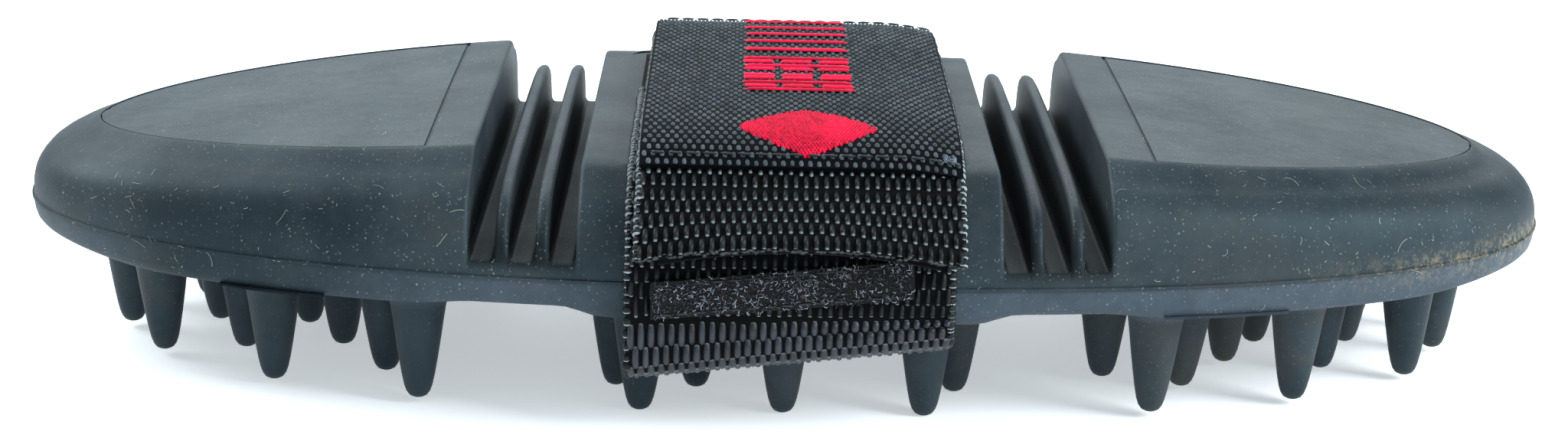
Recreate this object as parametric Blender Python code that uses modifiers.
"""Rubber curry brush: a soft rubber block with two flexing wings, teats underneath and a hand strap.

The brush lies along X and stands on the teats of its middle block, +Z up. The middle block
(the saddle) carries the strap. On each side three slots and two thin upright fins make the
living hinge that lets the wing bend. The strap runs over the saddle, round each long rim
and through a flat tunnel in the block, and its free end peels up.
"""
import math

import bmesh
import bpy
from mathutils import Vector

MM = 0.001

# Plan of the rubber body: a superellipse.
BODY_LENGTH = 200.0 * MM
BODY_WIDTH = 88.0 * MM
PLAN_POWER = 2.3
RING_POINTS = 72

# Heights above the tips of the saddle's teats.
SADDLE_RIM_Z = 14.1 * MM
WING_RIM_Z = 14.7 * MM
WEB_BOTTOM_Z = 14.9 * MM
PART_LINE_Z = 18.9 * MM
SLOT_FLOOR_Z = 20.8 * MM
FIN_TOP_Z = 28.8 * MM
SADDLE_TOP_Z = 31.0 * MM
WING_TOP_Z = 32.4 * MM
WING_FALL = 5.6 * MM
RIM_LIP = 1.2 * MM
FLOOR_INSET = 0.4 * MM
UNDERCUT = 0.6 * MM
TOP_EDGE_INSET = 17.0 * MM

# The living hinges, from the saddle outwards: slot, fin, slot, fin, slot, wing.
SADDLE_HALF = 25.9 * MM
SLOT_WIDTH = 3.35 * MM
FIN_THICKNESS = 1.6 * MM
SLOTS = 3

# Sections above the slot floor, bottom to top: (share of the rise to the top, inset from the plan).
SADDLE_LEVELS = [(0.343, 1.4 * MM), (0.588, 3.2 * MM), (0.843, 8.0 * MM), (1.0, 19.0 * MM)]
FIN_LEVELS = [(0.4, 1.0 * MM), (0.725, 2.6 * MM), (0.925, 9.0 * MM), (1.0, 24.0 * MM)]
WING_LEVELS = [(0.36, 0.8 * MM), (0.58, 1.9 * MM), (0.76, 4.2 * MM), (0.89, 8.8 * MM)]

# Flat panel on top of each wing.
PANEL_LENGTH = 50.0 * MM
PANEL_INSET = 14.0 * MM
PANEL_POWER = 1.8

# Pieces that touch keep this gap, and so do the round ends of the hinges in their sockets.
GAP = 0.3 * MM

# Teats: bullets that stand down from the underside.
TEAT_BASE_RADIUS = 3.35 * MM
TEAT_TIP_RADIUS = 2.0 * MM
TEAT_SIDES = 10
TEAT_ROOT = 1.0 * MM
WING_TEAT_TIP_Z = 0.8 * MM
WING_TEAT_INSET = 6.5 * MM
# Each is a share of the wing's length and a share of its half width; both near and far of the middle.
WING_TEATS = [
    (0.11, 1.0), (0.42, 0.95), (0.685, 0.76), (0.79, 0.29),
    (0.20, 0.72), (0.31, 0.42), (0.40, 0.153), (0.515, 0.55),
]
# These stand on one side of the middle only: negative is the near side.
ODD_WING_TEATS = [(0.605, -0.145), (0.655, 0.32), (0.19, 0.04)]
HINGE_TEAT_Y = 20.5 * MM
# The saddle's outer rows stand beside the strap's slots; the others are shares of their distance out.
SADDLE_INNER_ROW = 1 / 3
SADDLE_CORNER_ROW = 0.73
SADDLE_COLUMN_INSET = 8.2 * MM
SADDLE_COLUMN_SHIFT = -0.5 * MM
SADDLE_CORNER_INSET = 0.9 * MM
SADDLE_ODD_TEAT_STEP = 10.15 * MM

# Strap webbing.
STRAP_WIDTH = 39.4 * MM
STRAP_THICKNESS = 1.6 * MM
TUNNEL_CLEARANCE = 0.35 * MM
RIM_BAR = 3.3 * MM
TUNNEL_RISE = 1.6 * MM
TUNNEL_BEND = 2.8 * MM
LOOP_DROP_LEFT = 5.4 * MM
LOOP_DROP_RIGHT = 2.9 * MM
FAR_SLACK = 2.0 * MM
FAR_DROP = 2.0 * MM
UNDER_END_INSET = 22.0 * MM
TOP_SHIFT_X = 1.1 * MM
LABEL_THICKNESS = 0.6 * MM
LABEL_FAR_INSET = 9.0 * MM
LABEL_SIDE_MARGIN = 0.3 * MM

# The end flap turns up about an axis on the near shoulder, and the tapes that hold it.
FLAP_HINGE_INSET = 3.0 * MM
FLAP_REACH = 6.5 * MM
FLAP_DROP = 6.1 * MM
FLAP_END_GAP = 1.1 * MM
TAPE_THICKNESS = 0.5 * MM
HOOK_TAPE_MARGIN = 3.9 * MM
HOOK_TAPE_X = -0.9 * MM
HOOK_TAPE_HEIGHT = 4.6 * MM
HOOK_TAPE_LOW_LEFT = 15.3 * MM
HOOK_TAPE_LOW_RIGHT = 18.5 * MM
LOOP_TAPE_MARGIN = 2.7 * MM
THREAD_RADIUS = 0.2 * MM
STITCH_END_INSET = 1.0 * MM
STITCH_EDGE_INSET = 0.7 * MM

# Worked out from the sizes above.
HALF_LENGTH = BODY_LENGTH / 2
HALF_WIDTH = BODY_WIDTH / 2
HINGE_Z = (WEB_BOTTOM_Z + SLOT_FLOOR_Z) / 2
HINGE_RADIUS = (SLOT_FLOOR_Z - WEB_BOTTOM_Z) / 2
SOCKET_RADIUS = HINGE_RADIUS + GAP
SOCKET_LIP = math.sqrt(SOCKET_RADIUS ** 2 - HINGE_RADIUS ** 2)
HINGE_PITCH = SLOT_WIDTH + FIN_THICKNESS
HINGE_X = [SADDLE_HALF + SLOT_WIDTH / 2 + i * HINGE_PITCH for i in range(SLOTS)]
WING_INNER_X = SADDLE_HALF + (SLOTS - 1) * HINGE_PITCH + SLOT_WIDTH
OUTSIDE = 20.0 * MM
CHANNEL = STRAP_THICKNESS + 2 * TUNNEL_CLEARANCE
SLOT_Y = HALF_WIDTH - RIM_BAR - CHANNEL / 2
TUNNEL_Z = SLOT_FLOOR_Z + TUNNEL_RISE
PANEL_HALF_WIDTH = HALF_WIDTH - PANEL_INSET
FLAP_HINGE_Y = HALF_WIDTH - FLAP_HINGE_INSET
HOOK_TAPE_WIDTH = STRAP_WIDTH - 2 * HOOK_TAPE_MARGIN
LOOP_TAPE_WIDTH = STRAP_WIDTH - 2 * LOOP_TAPE_MARGIN
UNDER_OFFSET = GAP + STRAP_THICKNESS / 2
OVER_OFFSET = UNDER_OFFSET + STRAP_THICKNESS + GAP
SADDLE_TEAT_Y = SLOT_Y - CHANNEL / 2 - TEAT_BASE_RADIUS - GAP / 2


# ---------------------------------------------------------------- scene, materials, helpers

def clear_scene():
    for obj in list(bpy.data.objects):
        bpy.data.objects.remove(obj, do_unlink=True)


def new_collection(name):
    collection = bpy.data.collections.new(name)
    bpy.context.scene.collection.children.link(collection)
    return collection


def material(name, color, roughness, metallic=0.0):
    mat = bpy.data.materials.new(name)
    mat.use_nodes = True
    shader = mat.node_tree.nodes["Principled BSDF"]
    shader.inputs["Base Color"].default_value = (*color, 1.0)
    shader.inputs["Roughness"].default_value = roughness
    shader.inputs["Metallic"].default_value = metallic
    return mat


def object_from_bmesh(name, bm, collection, mat=None):
    bmesh.ops.recalc_face_normals(bm, faces=bm.faces)
    mesh = bpy.data.meshes.new(name)
    bm.to_mesh(mesh)
    bm.free()
    obj = bpy.data.objects.new(name, mesh)
    collection.objects.link(obj)
    if mat:
        mesh.materials.append(mat)
    return obj


def set_origin(obj, point):
    """Move an object's origin to a point and leave its shape where it is."""
    offset = Vector(point)
    for vertex in obj.data.vertices:
        vertex.co -= offset
    obj.location = offset


def hide_cutter(obj):
    obj.hide_render = True
    obj.display_type = "WIRE"
    return obj


def add_boolean(obj, cutter, operation):
    modifier = obj.modifiers.new(operation.lower(), "BOOLEAN")
    modifier.operation = operation
    modifier.solver = "EXACT"
    modifier.object = cutter


# ---------------------------------------------------------------- rubber blanks

def half_width_at(x, inset=0.0):
    """Half width of the plan at a place along the brush."""
    share = min(abs(x) / (HALF_LENGTH - inset), 1.0)
    return (HALF_WIDTH - inset) * (1 - share ** PLAN_POWER) ** (1 / PLAN_POWER)


def plan_ring(inset, height):
    """Points of the plan outline, moved in by inset; height is a function of x."""
    ring = []
    for i in range(RING_POINTS):
        angle = 2 * math.pi * i / RING_POINTS
        c, s = math.cos(angle), math.sin(angle)
        x = math.copysign(abs(c) ** (2 / PLAN_POWER), c) * (HALF_LENGTH - inset)
        y = math.copysign(abs(s) ** (2 / PLAN_POWER), s) * (HALF_WIDTH - inset)
        ring.append((x, y, height(x)))
    return ring


def panel_half_width(x):
    """Half width of the flat panel on top of a wing."""
    start = HALF_LENGTH - TOP_EDGE_INSET / 2 - PANEL_LENGTH
    share = min(max(abs(x) - start, 0.0) / PANEL_LENGTH, 1.0)
    return PANEL_HALF_WIDTH * (1 - share ** PANEL_POWER) ** (1 / PANEL_POWER)


def panel_ring(height):
    reach = HALF_LENGTH - TOP_EDGE_INSET / 2
    ring = []
    for x, y, _ in plan_ring(0.0, height):
        x *= reach / HALF_LENGTH
        ring.append((x, math.copysign(panel_half_width(x), y), height(x)))
    return ring


def loft(name, rings, collection, mat=None):
    """Closed solid through rings of equal count, capped with strips across its width."""
    bm = bmesh.new()
    rows = [[bm.verts.new(point) for point in ring] for ring in rings]
    count = RING_POINTS
    for low, high in zip(rows, rows[1:]):
        for i in range(count):
            j = (i + 1) % count
            bm.faces.new((low[i], low[j], high[j], high[i]))
    for row in (rows[0], rows[-1]):
        for i in range(count // 2):
            corners = [row[i], row[i + 1], row[count - i - 1], row[(count - i) % count]]
            unique = list(dict.fromkeys(corners))
            bm.faces.new(unique)
    bmesh.ops.remove_doubles(bm, verts=bm.verts, dist=0.01 * MM)
    return object_from_bmesh(name, bm, collection, mat)


def base_rings(rim_z):
    """The lower body that every rubber piece shares, from the rim up to the slot floor."""
    return [
        plan_ring(RIM_LIP, lambda x: rim_z),
        plan_ring(RIM_LIP * 0.2, lambda x: rim_z + RIM_LIP),
        plan_ring(0.0, lambda x: rim_z + 2 * RIM_LIP),
        plan_ring(0.0, lambda x: PART_LINE_Z),
        plan_ring(FLOOR_INSET, lambda x: SLOT_FLOOR_Z),
    ]


def wing_top(x):
    share = max(abs(x) - WING_INNER_X, 0.0) / (HALF_LENGTH - WING_INNER_X)
    return WING_TOP_Z - WING_FALL * (0.84 * share + 0.16 * share ** 5)


def raised_rings(levels, top):
    """Rings part of the way up from the slot floor to a top, whose height is a function of x."""
    rings = []
    for rise, inset in levels:
        rings.append(plan_ring(inset, lambda x, r=rise: SLOT_FLOOR_Z + r * (top(x) - SLOT_FLOOR_Z)))
    return rings


def wing_blank(name, collection, mat):
    rings = base_rings(WING_RIM_Z) + raised_rings(WING_LEVELS, wing_top) + [panel_ring(wing_top)]
    return loft(name, rings, collection, mat)


def saddle_blank(name, collection, mat):
    rings = base_rings(SADDLE_RIM_Z) + raised_rings(SADDLE_LEVELS, lambda x: SADDLE_TOP_Z)
    return loft(name, rings, collection, mat)


def fin_blank(name, collection, mat):
    rings = base_rings(WEB_BOTTOM_Z) + raised_rings(FIN_LEVELS, lambda x: FIN_TOP_Z)
    return loft(name, rings, collection, mat)


# ---------------------------------------------------------------- hinge profiles (side view)

def arc(cx, radius, start, end, steps=10):
    """Points of an arc about a hinge axis at cx, angles in degrees in the XZ plane."""
    points = []
    for i in range(steps + 1):
        angle = math.radians(start + (end - start) * i / steps)
        points.append((cx + radius * math.cos(angle), HINGE_Z + radius * math.sin(angle)))
    return points


def socket_arc(hinge_x):
    """The hollow end that takes the next piece's round end, from its top lip to its bottom lip."""
    half = math.degrees(math.asin(HINGE_RADIUS / SOCKET_RADIUS))
    return arc(hinge_x, SOCKET_RADIUS, 180 - half, 180 + half)


def round_arc(hinge_x):
    """The round end that turns in the socket, from bottom to top."""
    return arc(hinge_x, HINGE_RADIUS, 270, 90)


def saddle_profile():
    right = [(SADDLE_HALF, SADDLE_TOP_Z + OUTSIDE), (SADDLE_HALF, SLOT_FLOOR_Z)]
    right += socket_arc(HINGE_X[0])
    right += [(SADDLE_HALF - UNDERCUT, WEB_BOTTOM_Z - UNDERCUT), (SADDLE_HALF - 1.5 * UNDERCUT, 0.0)]
    left = [(-x, z) for x, z in reversed(right)]
    return right + left


def fin_profile(index):
    """One web segment with its fin, on the right-hand side of the brush."""
    inner = SADDLE_HALF + SLOT_WIDTH + index * HINGE_PITCH
    outer = inner + FIN_THICKNESS
    top = FIN_TOP_Z + OUTSIDE
    points = round_arc(HINGE_X[index])
    points += [(inner, SLOT_FLOOR_Z), (inner, top), (outer, top), (outer, SLOT_FLOOR_Z)]
    return points + socket_arc(HINGE_X[index + 1])


def wing_profile():
    points = round_arc(HINGE_X[-1])
    points += [(WING_INNER_X, SLOT_FLOOR_Z), (WING_INNER_X, WING_TOP_Z + OUTSIDE)]
    points += [(HALF_LENGTH + OUTSIDE, WING_TOP_Z + OUTSIDE), (HALF_LENGTH + OUTSIDE, 0.0)]
    return points + [(HINGE_X[-1] + 2 * UNDERCUT, 0.0), (HINGE_X[-1] + UNDERCUT, WEB_BOTTOM_Z)]


def profile_cutter(name, points, side, collection):
    """Side-view outline turned into a prism across the brush; side is +1 right or -1 left."""
    bm = bmesh.new()
    reach = HALF_WIDTH + OUTSIDE
    corners = [bm.verts.new((side * x, -reach, z)) for x, z in points]
    face = bm.faces.new(corners)
    grown = bmesh.ops.extrude_face_region(bm, geom=[face])
    moved = [g for g in grown["geom"] if isinstance(g, bmesh.types.BMVert)]
    bmesh.ops.translate(bm, verts=moved, vec=(0.0, 2 * reach, 0.0))
    return hide_cutter(object_from_bmesh(name, bm, collection))


# ---------------------------------------------------------------- teats

def teat_profile(tip_z, root_z):
    """Radius and height from the tip up."""
    length = root_z - tip_z
    return [
        (TEAT_TIP_RADIUS * 0.5, tip_z),
        (TEAT_TIP_RADIUS * 0.87, tip_z + TEAT_TIP_RADIUS * 0.25),
        (TEAT_TIP_RADIUS * 1.05, tip_z + TEAT_TIP_RADIUS * 0.9),
        (TEAT_TIP_RADIUS + (TEAT_BASE_RADIUS - TEAT_TIP_RADIUS) * 0.55, tip_z + length * 0.5),
        (TEAT_BASE_RADIUS, root_z),
    ]


def teat_group(name, places, tip_z, root_z, collection):
    """All of one piece's teats as a cutter that is joined to its underside."""
    bm = bmesh.new()
    profile = teat_profile(tip_z, root_z)
    for x, y in places:
        rings = []
        for radius, z in profile:
            ring = []
            for i in range(TEAT_SIDES):
                angle = 2 * math.pi * (i + 0.5) / TEAT_SIDES
                place = (x + radius * math.cos(angle), y + radius * math.sin(angle), z)
                ring.append(bm.verts.new(place))
            rings.append(ring)
        for low, high in zip(rings, rings[1:]):
            for i in range(TEAT_SIDES):
                j = (i + 1) % TEAT_SIDES
                bm.faces.new((low[i], low[j], high[j], high[i]))
        bm.faces.new(rings[0])
        bm.faces.new(rings[-1])
    return hide_cutter(object_from_bmesh(name, bm, collection))


def wing_teat_places(side):
    """Teats of one wing: near is -Y. The two wings are mirror images but for one teat by the hinge."""
    shares = WING_TEATS + [(u, -v) for u, v in WING_TEATS] + ODD_WING_TEATS
    places = []
    for u, v in shares:
        x = WING_INNER_X + u * (HALF_LENGTH - WING_INNER_X)
        y = v * (half_width_at(x) - WING_TEAT_INSET)
        places.append((side * x, y))
    hinge_teat_x = HINGE_X[-1] + TEAT_BASE_RADIUS + GAP
    places.append((side * hinge_teat_x, -side * HINGE_TEAT_Y))
    return places


def saddle_teat_places():
    places = []
    for column in (-1, 0, 1):
        x = column * (SADDLE_HALF - SADDLE_COLUMN_INSET) + SADDLE_COLUMN_SHIFT
        for y in (SADDLE_TEAT_Y, SADDLE_TEAT_Y * SADDLE_INNER_ROW):
            places += [(x, y), (x, -y)]
    corner_x = SADDLE_HALF - TEAT_BASE_RADIUS - SADDLE_CORNER_INSET
    corner_y = SADDLE_TEAT_Y * SADDLE_CORNER_ROW
    places += [(sx * corner_x, sy * corner_y) for sx in (-1, 1) for sy in (-1, 1)]
    odd_x = corner_x - SADDLE_ODD_TEAT_STEP
    return places + [(-odd_x, -corner_y), (odd_x, corner_y)]


# ---------------------------------------------------------------- strap

def smooth(points, steps=4):
    """Catmull-Rom curve through the points."""
    ends = [points[0]] + list(points) + [points[-1]]
    result = []
    for p0, p1, p2, p3 in zip(ends, ends[1:], ends[2:], ends[3:]):
        for i in range(steps):
            t = i / steps
            pair = []
            for a, b, c, d in zip(p0, p1, p2, p3):
                pair.append(0.5 * (2 * b + (c - a) * t + (2 * a - 5 * b + 4 * c - d) * t * t
                                   + (3 * b - a - 3 * c + d) * t ** 3))
            result.append(tuple(pair))
    result.append(tuple(points[-1]))
    return result


def offset(points, distance):
    """Move a (y, z) polyline to its left by a distance, along its own normals."""
    moved = []
    for i, (y, z) in enumerate(points):
        before = points[max(i - 1, 0)]
        after = points[min(i + 1, len(points) - 1)]
        dy, dz = after[0] - before[0], after[1] - before[1]
        length = math.hypot(dy, dz)
        moved.append((y - distance * dz / length, z + distance * dy / length))
    return moved


def saddle_side():
    """Outline of the saddle's side at the middle, from the rim up to the flat top, as (y, z), y > 0."""
    low = [(HALF_WIDTH, SADDLE_RIM_Z + 2 * RIM_LIP), (HALF_WIDTH - FLOOR_INSET / 2, SLOT_FLOOR_Z)]
    rise = SADDLE_TOP_Z - SLOT_FLOOR_Z
    high = [(HALF_WIDTH - inset, SLOT_FLOOR_Z + share * rise) for share, inset in SADDLE_LEVELS]
    return low + high


def over_side(distance):
    """The saddle's side outline at a distance from the rubber, from low to high, y > 0."""
    return offset(saddle_side(), -distance)


def near(points):
    return [(-y, z) for y, z in points]


def u_turn(outer_y, inner_y, low_z, steps=6):
    """Half circle under a rim, from the outside to the inside, as (y, z)."""
    centre = (outer_y + inner_y) / 2
    radius = (outer_y - inner_y) / 2
    points = []
    for i in range(steps + 1):
        angle = math.pi * i / steps
        height = low_z + radius * (1 - math.sin(angle))
        points.append((centre + radius * math.cos(angle), height))
    return points


def tunnel_side():
    """Far half of the webbing's way up through the slot and along the tunnel, as (y, z)."""
    bend = TUNNEL_BEND * 0.3
    return [
        (SLOT_Y, SADDLE_RIM_Z + 3 * MM), (SLOT_Y, TUNNEL_Z - TUNNEL_BEND),
        (SLOT_Y - bend, TUNNEL_Z - bend), (SLOT_Y - TUNNEL_BEND, TUNNEL_Z), (SLOT_Y * 0.5, TUNNEL_Z),
    ]


def strap_path(drop):
    """Middle line of the webbing from its inner end on top to the flap's hinge; drop is below the rim."""
    low_z = SADDLE_RIM_Z - drop + STRAP_THICKNESS / 2
    near_y = HALF_WIDTH + UNDER_OFFSET
    far_y = near_y + FAR_SLACK
    first_top = SADDLE_TOP_Z + UNDER_OFFSET
    second_top = SADDLE_TOP_Z + OVER_OFFSET
    points = [(HALF_WIDTH - UNDER_END_INSET, first_top), (0.0, first_top)]
    points += list(reversed(near(over_side(UNDER_OFFSET))))
    points += [(-y, z) for y, z in u_turn(near_y, SLOT_Y, low_z)]
    tunnel = tunnel_side()
    points += near(tunnel)
    points += [(0.0, TUNNEL_Z)] + list(reversed(tunnel))
    points += list(reversed(u_turn(far_y, SLOT_Y, SADDLE_RIM_Z - FAR_DROP - STRAP_THICKNESS / 2)))
    points += over_side(OVER_OFFSET)
    points += [(0.0, second_top)]
    top_side = list(reversed(near(over_side(OVER_OFFSET))))
    return points + [p for p in top_side if p[1] > flap_hinge()[1] + MM] + [flap_hinge()]


def flap_hinge():
    """Axis of the end flap: on the upper webbing's middle line at the near shoulder."""
    line = smooth(near(over_side(OVER_OFFSET)))
    for (y0, z0), (y1, z1) in zip(line, line[1:]):
        if y0 <= -FLAP_HINGE_Y <= y1:
            share = (-FLAP_HINGE_Y - y0) / (y1 - y0)
            return (-FLAP_HINGE_Y, z0 + share * (z1 - z0))
    return line[-1]


def strap_shift(index, count):
    """The upper run lies a little to the right of the under run."""
    share = min(max((index / count - 0.35) / 0.3, 0.0), 1.0)
    return TOP_SHIFT_X * share


def ribbon(name, paths, edges, thickness, collection, mat=None, shift=None):
    """Webbing or tape between two edges, left and right, given thickness about its middle.

    Each edge is a path of (y, z) and the x it lies at; shift moves a row sideways.
    """
    bm = bmesh.new()
    rows = []
    count = len(paths[0])
    for i, sides in enumerate(zip(*paths)):
        move = shift(i, count) if shift else 0.0
        rows.append([bm.verts.new((x + move, y, z)) for x, (y, z) in zip(edges, sides)])
    for (a, b), (c, d) in zip(rows, rows[1:]):
        bm.faces.new((a, b, d, c))
    mesh = bpy.data.meshes.new(name)
    bm.to_mesh(mesh)
    bm.free()
    obj = bpy.data.objects.new(name, mesh)
    collection.objects.link(obj)
    if mat:
        mesh.materials.append(mat)
    solidify = obj.modifiers.new("thickness", "SOLIDIFY")
    solidify.thickness = thickness
    solidify.offset = 0.0
    solidify.use_even_offset = True
    return obj


def thread(name, points, collection, mat):
    """Sewing thread as a thin tube."""
    curve = bpy.data.curves.new(name, "CURVE")
    curve.dimensions = "3D"
    curve.bevel_depth = THREAD_RADIUS
    curve.bevel_resolution = 2
    curve.use_fill_caps = True
    spline = curve.splines.new("POLY")
    spline.points.add(len(points) - 1)
    for point, place in zip(spline.points, points):
        point.co = (*place, 1.0)
    curve.materials.append(mat)
    obj = bpy.data.objects.new(name, curve)
    collection.objects.link(obj)
    return obj


def at_height(path, z):
    """Point of a rising (y, z) path at a height; below its start the path goes straight down."""
    for (y0, z0), (y1, z1) in zip(path, path[1:]):
        if min(z0, z1) <= z <= max(z0, z1) and z0 != z1:
            share = (z - z0) / (z1 - z0)
            return (y0 + share * (y1 - y0), z)
    return (path[0][0], z)


# ---------------------------------------------------------------- pieces

def make_saddle(parts, cutters, mat):
    body = saddle_blank("saddle_block", parts, mat)
    add_boolean(body, profile_cutter("saddle_profile", saddle_profile(), 1, cutters), "INTERSECT")
    teats = teat_group("saddle_teats", saddle_teat_places(), 0.0, SADDLE_RIM_Z + TEAT_ROOT, cutters)
    add_boolean(body, teats, "UNION")
    side = [(SLOT_Y, SADDLE_RIM_Z - 2 * MM)] + tunnel_side()
    path = smooth(near(side) + [(0.0, TUNNEL_Z)] + list(reversed(side)), 2)
    half = STRAP_WIDTH / 2 + TOP_SHIFT_X + TUNNEL_CLEARANCE
    tunnel = ribbon("strap_tunnel", (path, path), (-half, half), CHANNEL, cutters)
    add_boolean(body, hide_cutter(tunnel), "DIFFERENCE")


def make_fin(name, index, side, parts, cutters, mat):
    body = fin_blank(name, parts, mat)
    cutter = profile_cutter(name + "_profile", fin_profile(index), side, cutters)
    add_boolean(body, cutter, "INTERSECT")
    set_origin(body, (side * HINGE_X[index], 0.0, HINGE_Z))


def make_wing(name, side, parts, cutters, mat):
    body = wing_blank(name, parts, mat)
    add_boolean(body, profile_cutter(name + "_profile", wing_profile(), side, cutters), "INTERSECT")
    root_z = WING_RIM_Z + TEAT_ROOT
    places = wing_teat_places(side)
    add_boolean(body, teat_group(name + "_teats", places, WING_TEAT_TIP_Z, root_z, cutters), "UNION")
    set_origin(body, (side * HINGE_X[-1], 0.0, HINGE_Z))


def make_strap(parts, mat):
    paths = [smooth(strap_path(drop), 2) for drop in (LOOP_DROP_LEFT, LOOP_DROP_RIGHT)]
    edges = (-STRAP_WIDTH / 2, STRAP_WIDTH / 2)
    ribbon("strap_webbing", paths, edges, STRAP_THICKNESS, parts, mat, strap_shift)


def flap_path():
    """Middle line of the free end, from just past the hinge to its cut end."""
    y, z = flap_hinge()
    points = [
        (y, z), (y - FLAP_REACH * 0.42, z - FLAP_DROP * 0.3),
        (y - FLAP_REACH * 0.78, z - FLAP_DROP * 0.64), (y - FLAP_REACH, z - FLAP_DROP),
    ]
    line = smooth(points)
    first = next(i for i, p in enumerate(line) if math.dist(p, (y, z)) > FLAP_END_GAP)
    return line[first:]


def make_flap(parts, mat):
    path = flap_path()
    edges = (TOP_SHIFT_X - STRAP_WIDTH / 2, TOP_SHIFT_X + STRAP_WIDTH / 2)
    flap = ribbon("strap_end_flap", (path, path), edges, STRAP_THICKNESS, parts, mat)
    set_origin(flap, (0.0, *flap_hinge()))


def make_loop_tape(parts, mat):
    """Loop tape under the outer half of the flap."""
    inward = STRAP_THICKNESS / 2 + GAP + TAPE_THICKNESS / 2
    path = offset(flap_path(), inward)
    path = path[len(path) // 2:]
    edges = (TOP_SHIFT_X - LOOP_TAPE_WIDTH / 2, TOP_SHIFT_X + LOOP_TAPE_WIDTH / 2)
    tape = ribbon("loop_tape", (path, path), edges, TAPE_THICKNESS, parts, mat)
    set_origin(tape, (0.0, *flap_hinge()))


def make_hook_tape(parts, tape_mat, thread_mat):
    """Hook tape sewn slantwise on the near face of the under run."""
    face = near(over_side(UNDER_OFFSET + STRAP_THICKNESS / 2 + GAP + TAPE_THICKNESS / 2))
    paths = []
    for low in (HOOK_TAPE_LOW_LEFT, HOOK_TAPE_LOW_RIGHT):
        paths.append([at_height(face, low + HOOK_TAPE_HEIGHT * i / 4) for i in range(5)])
    edges = (HOOK_TAPE_X - HOOK_TAPE_WIDTH / 2, HOOK_TAPE_X + HOOK_TAPE_WIDTH / 2)
    ribbon("hook_tape", paths, edges, TAPE_THICKNESS, parts, tape_mat)
    out = TAPE_THICKNESS / 2 + GAP + THREAD_RADIUS
    for name, i, inward in (("hook_stitch_lower", 0, 1), ("hook_stitch_upper", -1, -1)):
        ends = []
        for x, path, side in zip(edges, paths, (1, -1)):
            y, z = path[i]
            ends.append((x + side * STITCH_END_INSET, y - out, z + inward * STITCH_EDGE_INSET))
        thread(name, ends, parts, thread_mat)


def make_label(parts, label_mat, thread_mat):
    """Woven label that covers the upper run of the webbing between the shoulders."""
    lift = OVER_OFFSET + STRAP_THICKNESS / 2 + GAP + LABEL_THICKNESS / 2
    near_side = list(reversed(near(over_side(lift))))
    full = smooth(over_side(lift)[1:] + near_side[:-1], 3)
    far_y = HALF_WIDTH - LABEL_FAR_INSET
    line = [p for p in full if -FLAP_HINGE_Y < p[0] < far_y and p[1] > flap_hinge()[1]]
    half = STRAP_WIDTH / 2 - LABEL_SIDE_MARGIN
    edges = (TOP_SHIFT_X - half, TOP_SHIFT_X + half)
    ribbon("woven_label", (line, line), edges, LABEL_THICKNESS, parts, label_mat)
    raised = offset(line, -(LABEL_THICKNESS / 2 + GAP + THREAD_RADIUS))
    stitches = (edges[0] + STITCH_END_INSET, edges[1] - STITCH_END_INSET)
    for name, (y, z) in (("label_stitch_near", raised[-2]), ("label_stitch_far", raised[1])):
        thread(name, [(x, y, z) for x in stitches], parts, thread_mat)


def build():
    clear_scene()
    parts = new_collection("rubber_curry_brush")
    cutters = new_collection("cutters")
    rubber = material("black rubber", (0.035, 0.045, 0.055), 0.62)
    webbing = material("black webbing", (0.018, 0.020, 0.024), 0.75)
    label = material("woven label", (0.045, 0.052, 0.058), 0.8)
    tape = material("hook and loop tape", (0.012, 0.012, 0.016), 0.55)
    thread_mat = material("black thread", (0.02, 0.02, 0.022), 0.6)
    make_saddle(parts, cutters, rubber)
    for word, side in (("left", -1), ("right", 1)):
        make_fin(word + "_inner_fin", 0, side, parts, cutters, rubber)
        make_fin(word + "_outer_fin", 1, side, parts, cutters, rubber)
        make_wing(word + "_wing", side, parts, cutters, rubber)
    make_strap(parts, webbing)
    make_flap(parts, webbing)
    make_loop_tape(parts, tape)
    make_hook_tape(parts, tape, thread_mat)
    make_label(parts, label, thread_mat)


build()
